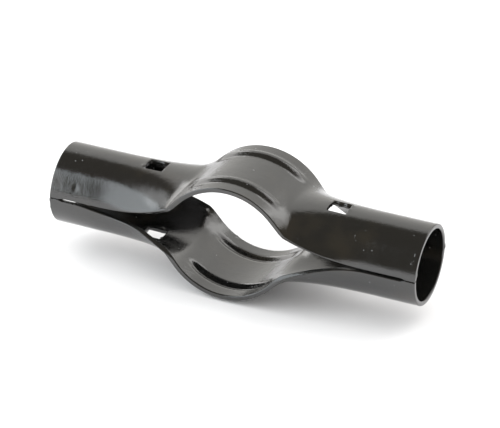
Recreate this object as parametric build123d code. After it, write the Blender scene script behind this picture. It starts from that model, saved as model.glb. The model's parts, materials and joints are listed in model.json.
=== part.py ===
from build123d import *
from math import acos, asin, atan2, cos, degrees, hypot, pi, sin, sqrt
import os

# Line rail clamp for a chain-link fence: two identical pressed halves that
# close round a line post and hold the end of a rail on each side of it.
# X runs along the rails, Y along the post, Z through the bolt holes.
# The origin is where the rail axis crosses the post axis. Millimetres.

# Driving dimensions
rail_diameter = 34.9        # 1-3/8 in rail tube
rail_clearance = 0.2        # radial, between rail and cup
post_diameter = 60.3        # 2-3/8 in line post
seat_clearance = 1.2        # radial, the seat's arc is this much wider than the post
seat_rise = 26.9            # from the rail axis to the inside of the seat at its top
sheet_thickness = 2.4
overall_length = 190.8
cup_length = 25.4           # round stretch at each end
strap_width = 54.4          # along the post
strap_end = 22.0            # the strap keeps its width this far from the middle
neck_bend = 5.0             # reach of the bend from seat to cup, along the crown
flare_height = 9.4          # of the long edges above the seam, at the flare distance
flare_distance = 33.0
flare_bend = 4.0            # reach of the bend from seat to flare, along the edges
seam_relief = 0.55          # each half's edge stands back this far from the seam
land_length = 4.5           # at each mouth the edges meet over this length
land_ramp = 3.0
bolt_spacing = 96.0
bolt_hole = 9.9             # square, for the neck of a 3/8 in carriage bolt
bolt_hole_corner = 0.8
bead_spacing = 32.6         # between the two stiffening beads
bead_half_width = 4.2
bead_height = 1.5
mouth_break = 0.3

# Derived sizes
cup_inner = rail_diameter / 2 + rail_clearance
cup_mid = cup_inner + sheet_thickness / 2
cup_outer = cup_inner + sheet_thickness
seat_inner = post_diameter / 2 + seat_clearance
seat_mid = seat_inner + sheet_thickness / 2
seat_outer = seat_inner + sheet_thickness
seat_offset = seat_inner - seat_rise
seat_angle = acos((cup_mid + neck_bend + seat_offset) / seat_mid)
seat_end = seat_mid * sin(seat_angle)
half_length = overall_length / 2
neck_end = half_length - cup_length
cup_edge = sqrt(cup_mid ** 2 - seam_relief ** 2)
bead_radius = (bead_half_width ** 2 + bead_height ** 2) / (2 * bead_height)
bead_root = sheet_thickness / 12    # how deep a bead's foot is let into the sheet

# The seat is turned about the post's axis, which lies below the seam for the upper half
post_axis = Axis((0, 0, -seat_offset), (0, 1, 0))

# Fineness of the necks and beads, which are made up of narrow plain faces
bend_strips = 8
flare_strips = 10
bead_sides = 24             # flats in a full turn of a bead's round profile
small_step = 1e-3
joint_tolerance = 1e-4


def ease(u):
    """Rises smoothly from 0 to 1 as u goes from 0 to 1."""
    u = min(max(u, 0.0), 1.0)
    return (1 - cos(pi * u)) / 2


def smooth_max(a, b, reach):
    """The larger of two heights, rounded where they come within reach of each other."""
    near = max(reach - abs(a - b), 0.0)
    return max(a, b) + near ** 2 / (4 * reach)


def seat_height(x):
    """Mid-sheet height along the round post seat."""
    return sqrt(max(seat_mid ** 2 - x ** 2, 0.0)) - seat_offset


def crown_height(x):
    """Mid-sheet height along the middle of the half: seat, bend, level cup."""
    return smooth_max(seat_height(x), cup_mid, neck_bend)


def edge_height(x):
    """Mid-sheet height along the long edges: seat, bend, flare down to the seam."""
    reach = max(neck_end - x, 0.0) / (neck_end - flare_distance)
    rise = reach ** 2 if reach < 1 else 2 * reach - 1
    flare = seam_relief + (flare_height - seam_relief) * rise
    return smooth_max(seat_height(x), flare, flare_bend)


def edge_offset(x):
    """Half width of the half seen from above: wide strap, narrowing to the cup."""
    narrowing = ease((x - strap_end) / (neck_end - strap_end))
    return strap_width / 2 + (cup_edge - strap_width / 2) * narrowing


def neck_point(x, u):
    """Mid-sheet point of the right neck: u runs from -1 to 1 across the sheet.

    Each section is one arc through its crown and its two edges, flat where
    the neck meets the strap and a half circle where it meets the cup.
    """
    width = edge_offset(x)
    depth = crown_height(x) - edge_height(x)
    half_angle = 2 * atan2(depth, width)
    if half_angle < joint_tolerance:
        return Vector(x, width * u, crown_height(x) - depth * u ** 2)
    radius = width / sin(half_angle)
    turn = half_angle * u
    return Vector(x, radius * sin(turn), crown_height(x) - radius * (1 - cos(turn)))


def neck_normal(x, u):
    """Outward unit normal of the right neck's mid-sheet."""
    along = neck_point(x + small_step, u) - neck_point(x - small_step, u)
    across = neck_point(x, u + small_step) - neck_point(x, u - small_step)
    return along.cross(across).normalized()


def skin_edge(x, offset):
    """One face of the sheet in the section at x, at a distance from the mid-sheet."""
    near, crown, far = [neck_point(x, u) + neck_normal(x, u) * offset for u in (-1, 0, 1)]
    if x >= neck_end:
        near, crown, far = [Vector(x, point.Y, point.Z) for point in (near, crown, far)]
    if abs(crown - (near + far) / 2) < joint_tolerance:
        return Edge.make_line(near, far)
    return Edge.make_three_point_arc(near, crown, far)


def neck_section(x):
    """Closed outline of the sheet, cut across square to it at x."""
    outer = skin_edge(x, sheet_thickness / 2)
    inner = skin_edge(x, -sheet_thickness / 2)
    near_cut = Edge.make_line(inner @ 0, outer @ 0)
    far_cut = Edge.make_line(outer @ 1, inner @ 1)
    return Wire([outer, far_cut, inner, near_cut])


def neck():
    """Right neck: bent out of the strap's plane, its edges flaring down to the cup."""
    bend_step = (flare_distance - seat_end) / bend_strips
    flare_step = (neck_end - flare_distance) / flare_strips
    places = [seat_end + bend_step * i for i in range(bend_strips)]
    places += [flare_distance + flare_step * i for i in range(flare_strips)]
    places += [neck_end]
    return Solid.make_loft([neck_section(x) for x in places], ruled=True)


def turned(profile, angle):
    """A profile in the YZ plane, turned about the post's axis to an angle on each side."""
    return revolve(profile, post_axis, degrees(2 * angle)).rotate(post_axis, degrees(-angle))


def seat_profile(offset, radius):
    """Place on the YZ plane at an offset along the post and a radius from its axis."""
    return Plane.YZ * Pos(offset, radius - seat_offset)


def strap():
    """Seat of the post: an arc of flat strip."""
    return turned(seat_profile(0, seat_mid) * Rectangle(strap_width, sheet_thickness), seat_angle)


def bead_end():
    """Angle at which the neck has risen out of the seat's arc as far as a bead stands."""
    x = seat_end
    rise = 0.0
    while rise < bead_height + bead_root / 2:
        x += bead_root
        point = neck_point(x, bead_spacing / 2 / edge_offset(x))
        rise = hypot(point.X, point.Z + seat_offset) - seat_mid
    return asin(x / seat_mid)


def bead_profile(offset, radius):
    """Round profile of a bead with a flat at its top, about the centre of its arc."""
    centre = seat_outer + bead_height - bead_radius
    polygon = RegularPolygon(radius, bead_sides, major_radius=False)
    return seat_profile(offset, centre) * Rot(0, 0, 180 / bead_sides) * polygon


def bead_ridge(offset):
    """Outer side of a bead, let a little into the sheet."""
    above = seat_profile(offset, seat_outer - bead_root + bead_radius)
    above *= Rectangle(2 * bead_radius, 2 * bead_radius)
    return turned(bead_profile(offset, bead_radius) & above, bead_end())


def bead_groove(offset):
    """Inner side of a bead, one sheet thickness below its outer side."""
    return turned(bead_profile(offset, bead_radius - sheet_thickness), bead_end())


def half_ring(gap_angle):
    """Section of a cup, standing back from the seam by an angle at each edge."""
    outer = CenterArc((0, 0), cup_outer, gap_angle, 180 - 2 * gap_angle)
    inner = CenterArc((0, 0), cup_inner, gap_angle, 180 - 2 * gap_angle)
    return make_face([outer, Line(outer @ 1, inner @ 1), inner, Line(inner @ 0, outer @ 0)])


def cup():
    """Half-round cup on the +X side, with the lands that meet the other half."""
    across = Plane.YZ.offset(neck_end)
    relieved = extrude(across * half_ring(degrees(asin(seam_relief / cup_mid))), cup_length)
    full = extrude(across * half_ring(0), cup_length)
    land_start = half_length - land_length
    land_outline = Polyline(
        (half_length, 0),
        (land_start, 0),
        (land_start - land_ramp, 2 * seam_relief),
        (half_length, 2 * seam_relief),
        close=True,
    )
    land = extrude(Plane.XZ * make_face(land_outline), 2 * cup_outer, both=True)
    return relieved + (full & land)


def bolt_way(x):
    """Square way through the crown of a half, for a carriage bolt's neck."""
    square = RectangleRounded(bolt_hole, bolt_hole, bolt_hole_corner)
    return extrude(Pos(x, 0, 0) * square, 2 * cup_outer)


def clamp_half():
    """One pressed half, lying above the seam."""
    right_side = [neck(), cup()]
    left_side = [mirror(shape, about=Plane.YZ) for shape in right_side]
    half = strap().fuse(*right_side, *left_side, tol=joint_tolerance)
    for side in (-1, 1):
        half += bead_ridge(side * bead_spacing / 2)
        half -= bead_groove(side * bead_spacing / 2)
        half -= bolt_way(side * bolt_spacing / 2)
    mouths = [
        edge
        for edge in half.edges().filter_by(GeomType.CIRCLE)
        if abs(abs(edge.center().X) - half_length) < small_step
    ]
    return chamfer(mouths, mouth_break)


os.makedirs("parts", exist_ok=True)
upper_half = clamp_half()
lower_half = Rot(180, 0, 0) * upper_half
export_step(upper_half, "parts/upper_half.step")
export_step(lower_half, "parts/lower_half.step")
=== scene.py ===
from math import asin, atan2, cos, pi, radians, sin, sqrt
import json

import bpy
from bpy.props import FloatProperty, FloatVectorProperty, PointerProperty
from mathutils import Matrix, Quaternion, Vector


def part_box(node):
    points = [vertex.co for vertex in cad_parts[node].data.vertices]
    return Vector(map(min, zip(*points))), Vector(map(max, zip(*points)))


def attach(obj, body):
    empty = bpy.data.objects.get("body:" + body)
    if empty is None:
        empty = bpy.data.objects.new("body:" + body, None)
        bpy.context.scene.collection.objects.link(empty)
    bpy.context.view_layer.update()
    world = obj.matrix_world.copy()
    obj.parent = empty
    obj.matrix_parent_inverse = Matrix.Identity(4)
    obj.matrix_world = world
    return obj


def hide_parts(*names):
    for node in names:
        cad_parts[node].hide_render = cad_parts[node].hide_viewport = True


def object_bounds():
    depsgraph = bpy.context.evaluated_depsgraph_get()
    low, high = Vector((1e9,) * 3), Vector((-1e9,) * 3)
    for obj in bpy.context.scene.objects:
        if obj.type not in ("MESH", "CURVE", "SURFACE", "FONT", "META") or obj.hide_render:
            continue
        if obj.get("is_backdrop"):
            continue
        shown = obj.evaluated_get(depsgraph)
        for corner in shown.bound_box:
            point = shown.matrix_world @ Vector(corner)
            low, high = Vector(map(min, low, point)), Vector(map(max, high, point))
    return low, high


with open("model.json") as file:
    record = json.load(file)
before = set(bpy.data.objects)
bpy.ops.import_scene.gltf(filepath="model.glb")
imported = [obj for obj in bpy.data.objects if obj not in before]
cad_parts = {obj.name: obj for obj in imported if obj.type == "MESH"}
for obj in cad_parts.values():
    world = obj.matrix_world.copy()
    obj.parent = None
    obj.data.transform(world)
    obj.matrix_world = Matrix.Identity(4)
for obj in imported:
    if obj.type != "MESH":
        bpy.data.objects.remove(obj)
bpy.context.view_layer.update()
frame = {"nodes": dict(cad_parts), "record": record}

bl_info = {
    "name": "Fence rail clamp",
    "version": (1, 0, 0),
    "blender": (4, 5, 0),
    "location": "3D View > Sidebar > Rail clamp",
    "description": "Two pressed halves of a chain-link fence rail clamp in gloss black paint",
    "category": "Add Mesh",
}

MM = 0.001
HALF_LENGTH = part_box("upper_half")[1].x

# The sheet's mesh
SMALL_STEP = 1e-6           # for a slope
LEAST_DEPTH = 1e-7          # of a section's arc where the sheet is flat
EDGE_SEGMENTS = 3
EDGE_ANGLE = radians(60)    # edges sharper than this are rounded
SMOOTH_ANGLE = radians(50)

# The stage
FLOOR_SIDE = 8                              # m
CAMERA_PLACE = (0.5655, -1.4024, 0.763)     # m
CAMERA_TURN = (63.334, -2.531, 23.160)      # degrees about X, Y and Z
SENSOR_WIDTH = 36                           # mm
CLIP_END = 100                              # m

# Paint that has gathered on edges, and knocks: x, y, z, reach and rise in mm
SPOTS = {
    "upper_half": (
        (95.2, 19.2, 1.0, 2.4, 0.7),
        (95.2, -18.6, 3.0, 2.0, 0.3),
        (-95.0, -19.0, 0.6, 2.2, 0.5),
        (53.0, 3.2, 19.0, 2.2, 0.6),
        (53.0, -1.2, 19.4, 1.8, 0.5),
        (50.2, 4.9, 18.4, 2.0, 0.6),
        (46.0, 4.9, 18.2, 1.9, 0.5),
        (43.0, 2.4, 19.0, 2.0, 0.5),
        (-53.0, -3.0, 19.0, 2.0, 0.5),
        (-46.0, 4.9, 18.4, 2.0, 0.5),
        (-82.1, -18.7, 7.2, 1.8, -0.35),
        (-74.8, -20.0, 0.8, 1.6, 0.4),
        (-60.0, -19.9, 3.0, 1.5, 0.35),
    ),
    "lower_half": (
        (-95.0, -19.4, -1.2, 2.2, 0.5),
        (-95.2, -18.4, -5.4, 2.0, 0.5),
        (-15.1, 26.2, -24.0, 1.8, 0.7),
        (-31.0, 22.6, -11.6, 2.4, 0.6),
        (-28.0, 23.4, -14.6, 2.0, 0.5),
        (-33.5, 21.0, -12.4, 1.8, -0.3),
        (9.0, -26.6, -29.0, 1.8, 0.4),
        (-43.0, -3.0, -18.0, 2.0, 0.5),
        (-46.0, 4.9, -18.0, 2.0, 0.5),
    ),
}
# Scratches and smudges in the paint: x, y, z and the half widths along X, Y and Z in mm
MARKS = (
    ((62.0, -14.8, 13.8), (0.3, 1.3, 1.4)),
    ((62.9, -15.8, 12.4), (0.4, 0.8, 0.8)),
    ((93.1, -16.2, 12.0), (0.6, 1.2, 1.4)),
    ((92.4, -18.4, 8.6), (0.9, 1.0, 1.1)),
    ((94.0, -19.6, 4.4), (0.5, 0.9, 1.2)),
    ((-75.2, -20.0, 1.6), (0.8, 0.8, 0.8)),
)


def mount_dims(name):
    """Dimensions of one of the record's mounts."""
    return next(m for m in frame["record"]["mounts"] if m["name"] == name)["dims"]


def ease(u):
    """Rises smoothly from 0 to 1 as u goes from 0 to 1."""
    u = min(max(u, 0.0), 1.0)
    return (1 - cos(pi * u)) / 2


def smooth_max(a, b, reach):
    """The larger of two heights, rounded where they come within reach of each other."""
    near = max(reach - abs(a - b), 0.0)
    return max(a, b) + near**2 / (4 * reach)


class ClampSizes(bpy.types.PropertyGroup):
    """Sizes of the pressed halves."""

    half_length: FloatProperty(
        name="Half length",
        description="From the middle to a mouth",
        default=HALF_LENGTH,
        unit="LENGTH",
    )
    cup_bore: FloatProperty(
        name="Cup bore",
        description="Inner radius of the cups",
        default=mount_dims("rail_socket_right")["r_mm"] * MM,
        unit="LENGTH",
    )
    cup_length: FloatProperty(
        name="Cup length",
        description="Round stretch at each end",
        default=25.4 * MM,
        unit="LENGTH",
    )
    cup_spring: FloatProperty(
        name="Cup spring",
        description="How far each long edge of a cup has sprung outwards",
        default=0.9 * MM,
        unit="LENGTH",
    )
    thickness: FloatProperty(
        name="Sheet",
        description="Thickness of the sheet",
        default=2.4 * MM,
        unit="LENGTH",
    )
    seat_radius: FloatProperty(
        name="Seat radius",
        description="Inside of the post seat",
        default=31.35 * MM,
        unit="LENGTH",
    )
    seat_rise: FloatProperty(
        name="Seat rise",
        description="From the seam to the inside of the seat",
        default=26.9 * MM,
        unit="LENGTH",
    )
    strap_half_width: FloatProperty(
        name="Strap half width",
        description="Half width at the seat",
        default=27.2 * MM,
        unit="LENGTH",
    )
    strap_end: FloatProperty(
        name="Strap end",
        description="The strap keeps its width this far",
        default=22 * MM,
        unit="LENGTH",
    )
    neck_bend: FloatProperty(
        name="Neck bend",
        description="Reach of the bend along the crown",
        default=5 * MM,
        unit="LENGTH",
    )
    flare_height: FloatProperty(
        name="Flare height",
        description="Of the long edges above the seam",
        default=9.4 * MM,
        unit="LENGTH",
    )
    flare_distance: FloatProperty(
        name="Flare distance",
        description="Where the flare height is reached",
        default=33 * MM,
        unit="LENGTH",
    )
    flare_bend: FloatProperty(
        name="Flare bend",
        description="Reach of the bend along the edges",
        default=4 * MM,
        unit="LENGTH",
    )
    seam_relief: FloatProperty(
        name="Seam relief",
        description="Each near edge stands back this far",
        default=0.55 * MM,
        unit="LENGTH",
    )
    far_relief: FloatProperty(
        name="Far seam relief",
        description="Each far edge stands back this far",
        default=0.1 * MM,
        unit="LENGTH",
    )
    gape: FloatProperty(
        name="Gape",
        description="The lower half's left near edge stands open by this",
        default=1.7 * MM,
        unit="LENGTH",
    )
    gape_place: FloatProperty(
        name="Gape place",
        description="Where that edge stands open most",
        default=-63 * MM,
        unit="LENGTH",
    )
    gape_reach: FloatProperty(
        name="Gape reach",
        description="How far to each side of that place it stands open",
        default=20 * MM,
        unit="LENGTH",
    )
    land_length: FloatProperty(
        name="Land length",
        description="The edges meet over this length at each mouth",
        default=4.5 * MM,
        unit="LENGTH",
    )
    land_ramp: FloatProperty(
        name="Land ramp",
        description="Slope from land to relief",
        default=3 * MM,
        unit="LENGTH",
    )
    bolt_offset: FloatProperty(
        name="Bolt offset",
        description="Square holes from the middle",
        default=48 * MM,
        unit="LENGTH",
    )
    bolt_hole: FloatProperty(
        name="Bolt hole",
        description="Side of the square holes",
        default=9.9 * MM,
        unit="LENGTH",
    )
    bead_offset: FloatProperty(
        name="Bead offset",
        description="Beads from the middle line",
        default=16.3 * MM,
        unit="LENGTH",
    )
    bead_half_width: FloatProperty(
        name="Bead half width",
        description="Half width of a bead",
        default=4.2 * MM,
        unit="LENGTH",
    )
    bead_height: FloatProperty(
        name="Bead height",
        description="How far a bead stands out",
        default=1.5 * MM,
        unit="LENGTH",
    )
    bead_reach: FloatProperty(
        name="Bead reach",
        description="Beads keep their height this far from the middle",
        default=16 * MM,
        unit="LENGTH",
    )
    bead_runout: FloatProperty(
        name="Bead run-out",
        description="Beads fade over this distance",
        default=9 * MM,
        unit="LENGTH",
    )
    edge_rounding: FloatProperty(
        name="Edge rounding",
        description="Paint rounds the cut edges",
        default=0.5 * MM,
        unit="LENGTH",
    )
    step: FloatProperty(
        name="Mesh step",
        description="Side of one mesh face",
        default=0.85 * MM,
        unit="LENGTH",
    )


class PaintLook(bpy.types.PropertyGroup):
    """Colours, skin and gloss of the dipped paint."""

    black: FloatVectorProperty(
        name="Black",
        description="Paint colour",
        subtype="COLOR",
        size=3,
        default=(0.007, 0.007, 0.0065),
    )
    brown: FloatVectorProperty(
        name="Thin paint",
        description="Where the coat is thin",
        subtype="COLOR",
        size=3,
        default=(0.022, 0.018, 0.012),
    )
    dust: FloatVectorProperty(
        name="Dust",
        description="Specks in the paint",
        subtype="COLOR",
        size=3,
        default=(0.3, 0.31, 0.32),
    )
    thin_share: FloatProperty(
        name="Thin share",
        description="How far the thin places turn brown",
        default=0.5,
        min=0,
        max=1,
        subtype="FACTOR",
    )
    speck_share: FloatProperty(
        name="Speck share",
        description="How far specks and marks turn to dust",
        default=0.4,
        min=0,
        max=1,
        subtype="FACTOR",
    )
    peel_height: FloatProperty(
        name="Peel height",
        description="Height of the fine orange peel",
        default=0.06 * MM,
        unit="LENGTH",
    )
    sag_height: FloatProperty(
        name="Sag height",
        description="Height of the sags that run round the clamp",
        default=0.05 * MM,
        unit="LENGTH",
    )
    wave_height: FloatProperty(
        name="Wave height",
        description="Height of the broad waves",
        default=0.12 * MM,
        unit="LENGTH",
    )
    gloss_index: FloatProperty(
        name="Gloss index",
        description="Refractive index, which sets the strength of the gloss",
        default=1.82,
    )
    roughness: FloatProperty(
        name="Roughness",
        description="Of the paint's skin where it is smoothest",
        default=0.07,
        min=0,
        max=1,
        subtype="FACTOR",
    )
    patchy_roughness: FloatProperty(
        name="Patchy roughness",
        description="Added in soft patches",
        default=0.09,
        min=0,
        max=1,
        subtype="FACTOR",
    )
    haze_roughness: FloatProperty(
        name="Haze roughness",
        description="Added where the skin is hazy",
        default=0.05,
        min=0,
        max=1,
        subtype="FACTOR",
    )
    speck_roughness: FloatProperty(
        name="Speck roughness",
        description="Added on specks and marks",
        default=0.3,
        min=0,
        max=1,
        subtype="FACTOR",
    )


class StageSettings(bpy.types.PropertyGroup):
    """Floor, light and camera."""

    floor_colour: FloatVectorProperty(
        name="Floor",
        description="Colour of the floor",
        subtype="COLOR",
        size=3,
        default=(0.86, 0.85, 0.845),
    )
    dark_room: FloatVectorProperty(
        name="Room",
        description="What the paint mirrors beside the lamps",
        subtype="COLOR",
        size=3,
        default=(0.17, 0.15, 0.12),
    )
    fill: FloatProperty(
        name="Fill",
        description="Strength of the white light from all round",
        default=1.3,
    )
    lens: FloatProperty(
        name="Lens",
        description="Focal length in mm",
        default=252.0,
        unit="CAMERA",
    )


class PressedSheet:
    """Mid-sheet surface of one half, from its named sizes, lying above the seam."""

    def __init__(self, sizes, turned_over):
        self.sizes = sizes
        self.far_side = -1 if turned_over else 1
        self.gape = sizes.gape if turned_over else 0
        self.cup_mid = sizes.cup_bore + sizes.thickness / 2
        self.seat_mid = sizes.seat_radius + sizes.thickness / 2
        self.seat_offset = sizes.seat_radius - sizes.seat_rise
        self.neck_end = sizes.half_length - sizes.cup_length

    def seat_height(self, x):
        """Height along the round post seat."""
        return sqrt(max(self.seat_mid**2 - x**2, 0.0)) - self.seat_offset

    def crown_height(self, x):
        """Height along the middle of the half: seat, bend, level cup."""
        return smooth_max(self.seat_height(x), self.cup_mid, self.sizes.neck_bend)

    def relief(self, x, side):
        """How far the edge stands back from the seam in the cup."""
        sizes = self.sizes
        to_land = sizes.half_length - sizes.land_length - abs(x)
        stand_back = sizes.far_relief if side == self.far_side else sizes.seam_relief
        return stand_back * ease(to_land / sizes.land_ramp)

    def edge_height(self, x, side):
        """Height along the long edges: seat, bend, flare down to the seam."""
        sizes = self.sizes
        reach = max(self.neck_end - abs(x), 0.0) / (self.neck_end - sizes.flare_distance)
        rise = reach**2 if reach < 1 else 2 * reach - 1
        flare = self.relief(x, side) + (sizes.flare_height - sizes.seam_relief) * rise
        if side != self.far_side:
            flare += self.gape * ease(1 - abs(x - sizes.gape_place) / sizes.gape_reach)
        return smooth_max(self.seat_height(x), flare, sizes.flare_bend)

    def edge_offset(self, x):
        """Half width: wide strap, narrowing to the cup."""
        sizes = self.sizes
        narrowing = ease((abs(x) - sizes.strap_end) / (self.neck_end - sizes.strap_end))
        cup_half_width = self.cup_mid + sizes.cup_spring
        return sizes.strap_half_width + (cup_half_width - sizes.strap_half_width) * narrowing

    def arc(self, x, side):
        """Radius and half angle of the section's arc on one side."""
        width = self.edge_offset(x)
        depth = max(self.crown_height(x) - self.edge_height(x, side), LEAST_DEPTH)
        half_angle = 2 * atan2(depth, width)
        return width / sin(half_angle), half_angle

    def plain_point(self, x, share):
        """Point without beads; share runs from -1 to 1 along the arc."""
        radius, half_angle = self.arc(x, 1 if share >= 0 else -1)
        turn = half_angle * share
        return Vector((x, radius * sin(turn), self.crown_height(x) - radius * (1 - cos(turn))))

    def point(self, x, share):
        """Point with the beads."""
        sizes = self.sizes
        place = self.plain_point(x, share)
        away = abs(abs(place.y) - sizes.bead_offset) / sizes.bead_half_width
        fade = 1 - ease((abs(x) - sizes.bead_reach) / sizes.bead_runout)
        if away >= 1 or fade <= 0:
            return place
        along = self.plain_point(x + SMALL_STEP, share) - self.plain_point(x - SMALL_STEP, share)
        across = self.plain_point(x, share + SMALL_STEP) - self.plain_point(x, share - SMALL_STEP)
        rise = sizes.bead_height * fade * (1 - ease(away))
        return place + along.cross(across).normalized() * rise

    def share_at(self, x, side, distance):
        """Share of the arc at which the section is this far from the middle line."""
        radius, half_angle = self.arc(x, side)
        return asin(min(distance / radius, 1.0)) / half_angle


def spread(marks, step):
    """Places from the first mark to the last, with every mark among them."""
    places = [marks[0]]
    for start, end in zip(marks, marks[1:]):
        count = max(round((end - start) / step), 1)
        places += [start + (end - start) * (i + 1) / count for i in range(count)]
    return places


def formed_sheet(name, sheet):
    """A flat grid formed to the sheet, with grid lines along the sides of the bolt holes."""
    sizes = sheet.sizes
    hole = sizes.bolt_hole / 2
    hole_sides = [sizes.bolt_offset - hole, sizes.bolt_offset + hole]
    right_side = spread([0, *hole_sides, sizes.half_length], sizes.step)
    stations = [-x for x in reversed(right_side[1:])] + right_side
    mean_half_width = (sizes.strap_half_width + sheet.cup_mid * pi / 2) / 2
    hole_rows = round(hole / sizes.step)
    outer_rows = round((mean_half_width - hole) / sizes.step)
    rows = hole_rows + outer_rows

    bpy.ops.object.select_all(action="DESELECT")
    bpy.ops.mesh.primitive_grid_add(
        x_subdivisions=len(stations) - 1, y_subdivisions=2 * rows, size=2
    )
    piece = bpy.context.object
    piece.name = name
    piece.data.name = name
    # The grid runs from -1 to 1 along X and Y
    for vertex in piece.data.vertices:
        x = stations[round((vertex.co.x + 1) / 2 * (len(stations) - 1))]
        row = round(vertex.co.y * rows)
        side = 1 if row >= 0 else -1
        at_hole = sheet.share_at(x, side, hole)
        if abs(row) <= hole_rows:
            share = at_hole * abs(row) / hole_rows
        else:
            share = at_hole + (1 - at_hole) * (abs(row) - hole_rows) / outer_rows
        vertex.co = sheet.point(x, share * side)
    return piece


def edit_mesh(piece):
    """Makes a piece the only selected and active one, and enters edit mode."""
    bpy.ops.object.select_all(action="DESELECT")
    piece.select_set(True)
    bpy.context.view_layer.objects.active = piece
    bpy.ops.object.mode_set(mode="EDIT")


def pierce_bolt_holes(piece, sizes):
    """Takes out the faces of a formed sheet that lie in its two bolt holes."""
    edit_mesh(piece)
    bpy.ops.mesh.select_mode(type="FACE")
    bpy.ops.mesh.select_all(action="DESELECT")
    bpy.ops.object.mode_set(mode="OBJECT")
    for face in piece.data.polygons:
        beside_bolt = abs(abs(face.center.x) - sizes.bolt_offset)
        face.select = max(beside_bolt, abs(face.center.y)) < sizes.bolt_hole / 2
    bpy.ops.object.mode_set(mode="EDIT")
    bpy.ops.mesh.delete(type="FACE")
    bpy.ops.object.mode_set(mode="OBJECT")


def face_outwards(piece, turned_over):
    """Turns the faces to the outside and, for the lower half, the sheet about X."""
    edit_mesh(piece)
    bpy.ops.mesh.select_all(action="SELECT")
    bpy.ops.mesh.normals_make_consistent(inside=False)
    if turned_over:
        bpy.ops.transform.rotate(
            value=pi, orient_axis="X", orient_type="GLOBAL", center_override=(0, 0, 0)
        )
    bpy.ops.object.mode_set(mode="OBJECT")


def thicken(piece, sizes):
    """Gives a formed sheet its thickness, and its cut edges their rounding."""
    wall = piece.modifiers.new("Sheet", "SOLIDIFY")
    wall.thickness = sizes.thickness
    wall.offset = 0
    wall.use_even_offset = True
    rounding = piece.modifiers.new("Edges", "BEVEL")
    rounding.width = sizes.edge_rounding
    rounding.segments = EDGE_SEGMENTS
    rounding.limit_method = "ANGLE"
    rounding.angle_limit = EDGE_ANGLE
    for modifier in list(piece.modifiers):
        bpy.ops.object.modifier_apply(modifier=modifier.name)


def raise_spots(piece, spots):
    """Raises, or dents, the surface round some places: paint drips, blobs and knocks."""
    for vertex in piece.data.vertices:
        out = vertex.normal.copy()
        for x, y, z, reach, rise in spots:
            away = (vertex.co - Vector((x, y, z)) * MM).length / (reach * MM)
            if away < 1:
                vertex.co += out * rise * MM * ease(1 - away)


def pressed_half(name, sizes, turned_over, spots):
    """One pressed half: formed, pierced, given its thickness and its paint's blobs."""
    piece = formed_sheet(name, PressedSheet(sizes, turned_over))
    pierce_bolt_holes(piece, sizes)
    face_outwards(piece, turned_over)
    thicken(piece, sizes)
    raise_spots(piece, spots)
    bpy.ops.object.shade_smooth_by_angle(angle=SMOOTH_ANGLE)
    return piece


class Value:
    """A socket of a finish that can be used in plain arithmetic."""

    def __init__(self, finish, socket):
        self.finish = finish
        self.socket = socket

    def math(self, operation, first, second):
        """A Math node on two values."""
        return self.finish.node("ShaderNodeMath", {"operation": operation}, {0: first, 1: second})

    def __add__(self, other):
        return self.math("ADD", self, other)

    def __radd__(self, other):
        return self.math("ADD", other, self)

    def __sub__(self, other):
        return self.math("SUBTRACT", self, other)

    def __rsub__(self, other):
        return self.math("SUBTRACT", other, self)

    def __mul__(self, other):
        return self.math("MULTIPLY", self, other)

    def __rmul__(self, other):
        return self.math("MULTIPLY", other, self)

    def over(self, edge, width):
        """0 below edge, 1 above edge + width, smooth between."""
        return self.finish.node(
            "ShaderNodeMapRange",
            {"interpolation_type": "SMOOTHSTEP"},
            {"Value": self, "From Min": edge, "From Max": edge + width},
        )


class Finish:
    """The node tree of a material or of the world."""

    def __init__(self, owner):
        self.owner = owner
        owner.use_nodes = True
        self.tree = owner.node_tree
        self.tree.nodes.clear()

    def node(self, kind, settings=None, inputs=None, output=0):
        """Adds a node, sets it up, and returns one of its outputs."""
        node = self.tree.nodes.new(kind)
        for key, value in (settings or {}).items():
            setattr(node, key, value)
        for key, value in (inputs or {}).items():
            if isinstance(value, Value):
                self.tree.links.new(value.socket, node.inputs[key])
            else:
                node.inputs[key].default_value = value
        return Value(self, node.outputs[output]) if node.outputs else None

    def noise(self, scale, detail, stretch=(1, 1, 1)):
        """Cloudy noise from 0 to 1 on the object's own coordinates."""
        where = self.node("ShaderNodeTexCoord", output="Object")
        where = self.node("ShaderNodeMapping", inputs={"Vector": where, "Scale": stretch})
        return self.node(
            "ShaderNodeTexNoise", inputs={"Vector": where, "Scale": scale, "Detail": detail}
        )

    def mark(self, centre, size):
        """1 at a place of the object, 0 outside an oval round it."""
        away = self.node("ShaderNodeTexCoord", output="Object")
        for operation, measures in (("SUBTRACT", centre), ("DIVIDE", size)):
            away = self.node(
                "ShaderNodeVectorMath",
                {"operation": operation},
                {0: away, 1: [measure * MM for measure in measures]},
            )
        away = self.node(
            "ShaderNodeVectorMath", {"operation": "LENGTH"}, {0: away}, output="Value"
        )
        return 1 - away.over(edge=0.5, width=0.5)

    def mix_colours(self, factor, first, second):
        """From the first colour to the second by a factor."""
        return self.node(
            "ShaderNodeMix",
            {"data_type": "RGBA"},
            {"Factor": factor, 6: first, 7: second},
            output=2,
        )

    def done(self, surface, output="ShaderNodeOutputMaterial"):
        """Links the surface shader to the output."""
        self.node(output, inputs={"Surface": surface})
        return self.owner


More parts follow.
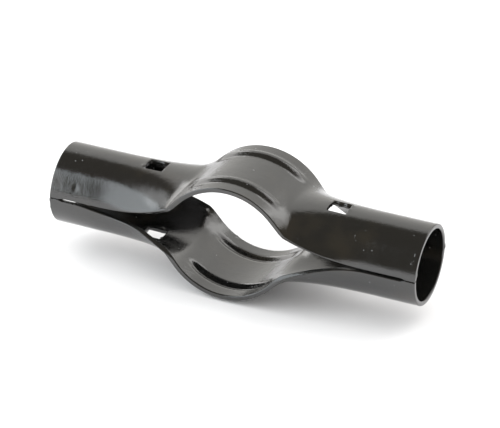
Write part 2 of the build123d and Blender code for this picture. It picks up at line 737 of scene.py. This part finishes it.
def black_paint(look):
    """Gloss black paint, dipped: wavy skin, thin brown places, haze, specks and marks."""
    paint = Finish(bpy.data.materials.new("black_paint"))
    peel = paint.noise(scale=1500, detail=2) * look.peel_height
    sags = paint.noise(scale=420, detail=3, stretch=(1, 0.3, 0.3)) * look.sag_height
    waves = paint.noise(scale=110, detail=2) * look.wave_height
    skin = paint.node(
        "ShaderNodeBump", inputs={"Strength": 1, "Distance": 1, "Height": peel + sags + waves}
    )
    patches = paint.noise(scale=160, detail=3)
    haze = paint.noise(scale=750, detail=3).over(edge=0.4, width=0.3)
    haze = haze * paint.noise(scale=70, detail=3).over(edge=0.4, width=0.25)
    speck = paint.noise(scale=640, detail=0).over(edge=0.86, width=0.02)
    for centre, size in MARKS:
        grain = paint.noise(scale=1100, detail=2).over(edge=0.35, width=0.3)
        speck = speck + paint.mark(centre, size) * grain

    thin = paint.noise(scale=45, detail=4).over(edge=0.5, width=0.2)
    colour = paint.mix_colours(thin * look.thin_share, (*look.black, 1), (*look.brown, 1))
    colour = paint.mix_colours(speck * look.speck_share, colour, (*look.dust, 1))
    rough = look.roughness + patches * look.patchy_roughness
    rough = rough + haze * look.haze_roughness + speck * look.speck_roughness
    coat = paint.node(
        "ShaderNodeBsdfPrincipled",
        inputs={
            "Base Color": colour,
            "Roughness": rough,
            "IOR": look.gloss_index,
            "Normal": skin,
        },
    )
    return paint.done(coat)


class CLAMP_OT_pressed_halves(bpy.types.Operator):
    """Adds the two pressed halves"""

    bl_idname = "clamp.pressed_halves"
    bl_label = "Pressed halves"

    def execute(self, context):
        sizes = context.scene.clamp_sizes
        paint = black_paint(context.scene.clamp_paint)
        for node, turned_over in (("upper_half", False), ("lower_half", True)):
            name = node.replace("half", "pressing")
            piece = pressed_half(name, sizes, turned_over, SPOTS[node])
            piece.data.materials.append(paint)
            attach(piece, "root")
            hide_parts(node)
        for solid in frame["nodes"].values():
            solid.data.materials.clear()
            solid.data.materials.append(paint)
        return {"FINISHED"}


def area_lamp(name, azimuth, elevation, distance, width, height, radiance, colour, roll=0):
    """A flat lamp that faces the middle of the stage and shows at a given brightness.

    Azimuth is in degrees from +Y towards +X, and roll turns the lamp about its own axis.
    """
    level = distance * cos(radians(elevation))
    centre = Vector((level * sin(radians(azimuth)), level * cos(radians(azimuth)), 0))
    centre.z = distance * sin(radians(elevation))
    bpy.ops.object.select_all(action="DESELECT")
    bpy.ops.object.light_add(type="AREA", location=centre)
    lamp = bpy.context.object
    lamp.name = name
    facing = (-centre).to_track_quat("-Z", "Y")
    lamp.rotation_euler = (facing @ Quaternion((0, 0, 1), radians(roll))).to_euler()
    lamp.data.shape = "RECTANGLE"
    lamp.data.size = width
    lamp.data.size_y = height
    lamp.data.energy = radiance * pi * width * height
    lamp.data.color = colour
    lamp.visible_camera = False
    lamp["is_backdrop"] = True
    return lamp


def studio_lamps():
    """A broad lamp behind, three smaller ones round the sides and a window in front."""
    back = area_lamp(
        "back_lamp",
        azimuth=-4,
        elevation=30,
        distance=1.7,
        width=2.4,
        height=1.9,
        radiance=1.0,
        colour=(1, 1, 0.98),
    )
    back.visible_diffuse = False
    area_lamp(
        "left_lamp",
        azimuth=-57,
        elevation=24,
        distance=1.5,
        width=0.95,
        height=0.8,
        radiance=2.5,
        colour=(1, 0.99, 0.98),
    )
    area_lamp(
        "side_lamp",
        azimuth=-94,
        elevation=42,
        distance=1.5,
        width=0.8,
        height=0.6,
        radiance=1.6,
        colour=(0.95, 0.98, 1),
    )
    area_lamp(
        "right_lamp",
        azimuth=40,
        elevation=44,
        distance=1.5,
        width=0.8,
        height=1.1,
        radiance=1.7,
        colour=(1, 0.99, 0.98),
    )
    area_lamp(
        "window_lamp",
        azimuth=-124,
        elevation=19,
        distance=1.5,
        width=1.46,
        height=1.5,
        radiance=2.5,
        colour=(0.88, 0.95, 1),
        roll=22,
    )


def floor_paint(colour):
    """Pale matt floor that takes the object's shadow."""
    floor = Finish(bpy.data.materials.new("floor_paint"))
    return floor.done(floor.node("ShaderNodeBsdfDiffuse", inputs={"Color": (*colour, 1)}))


def room_light(room_colour, fill):
    """World: white light from all round, plain white to the camera, a dim room in the gloss."""
    room = Finish(bpy.data.worlds.new("room"))
    to_camera = room.node("ShaderNodeLightPath", output="Is Camera Ray")
    in_gloss = room.node("ShaderNodeLightPath", output="Is Glossy Ray")
    strength = room.node(
        "ShaderNodeMapRange", inputs={"Value": to_camera, "To Min": fill, "To Max": 1}
    )
    white = room.node("ShaderNodeBackground", inputs={"Color": (1, 1, 1, 1), "Strength": strength})
    dim = room.node("ShaderNodeBackground", inputs={"Color": (*room_colour, 1)})
    both = room.node("ShaderNodeMixShader", inputs={0: in_gloss, 1: white, 2: dim})
    bpy.context.scene.world = room.done(both, "ShaderNodeOutputWorld")


class CLAMP_OT_stage(bpy.types.Operator):
    """Adds the floor, the lamps and the camera"""

    bl_idname = "clamp.stage"
    bl_label = "Stage"

    def execute(self, context):
        stage = context.scene.clamp_stage
        floor_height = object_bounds()[0].z
        bpy.ops.object.select_all(action="DESELECT")
        bpy.ops.mesh.primitive_plane_add(size=FLOOR_SIDE, location=(0, 0, floor_height))
        floor = context.object
        floor.name = "floor"
        floor.data.materials.append(floor_paint(stage.floor_colour))
        floor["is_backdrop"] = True
        room_light(stage.dark_room, stage.fill)
        studio_lamps()

        bpy.ops.object.camera_add(location=CAMERA_PLACE)
        camera = context.object
        camera.name = "camera"
        camera.rotation_euler = [radians(angle) for angle in CAMERA_TURN]
        camera.data.lens = stage.lens
        camera.data.sensor_width = SENSOR_WIDTH
        camera.data.clip_end = CLIP_END
        camera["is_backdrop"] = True
        context.scene.camera = camera
        context.scene.view_settings.view_transform = "Standard"
        return {"FINISHED"}


class CLAMP_PT_panel(bpy.types.Panel):
    """Panel with the clamp's operators"""

    bl_label = "Rail clamp"
    bl_idname = "CLAMP_PT_panel"
    bl_space_type = "VIEW_3D"
    bl_region_type = "UI"
    bl_category = "Rail clamp"

    def draw(self, context):
        layout = self.layout
        layout.operator("clamp.pressed_halves")
        layout.operator("clamp.stage")


CLASSES = (
    ClampSizes,
    PaintLook,
    StageSettings,
    CLAMP_OT_pressed_halves,
    CLAMP_OT_stage,
    CLAMP_PT_panel,
)


def register():
    for each in CLASSES:
        bpy.utils.register_class(each)
    bpy.types.Scene.clamp_sizes = PointerProperty(type=ClampSizes)
    bpy.types.Scene.clamp_paint = PointerProperty(type=PaintLook)
    bpy.types.Scene.clamp_stage = PointerProperty(type=StageSettings)


def unregister():
    del bpy.types.Scene.clamp_stage
    del bpy.types.Scene.clamp_paint
    del bpy.types.Scene.clamp_sizes
    for each in reversed(CLASSES):
        bpy.utils.unregister_class(each)


def main():
    register()
    bpy.ops.clamp.pressed_halves()
    bpy.ops.clamp.stage()


if __name__ == "__main__":
    main()
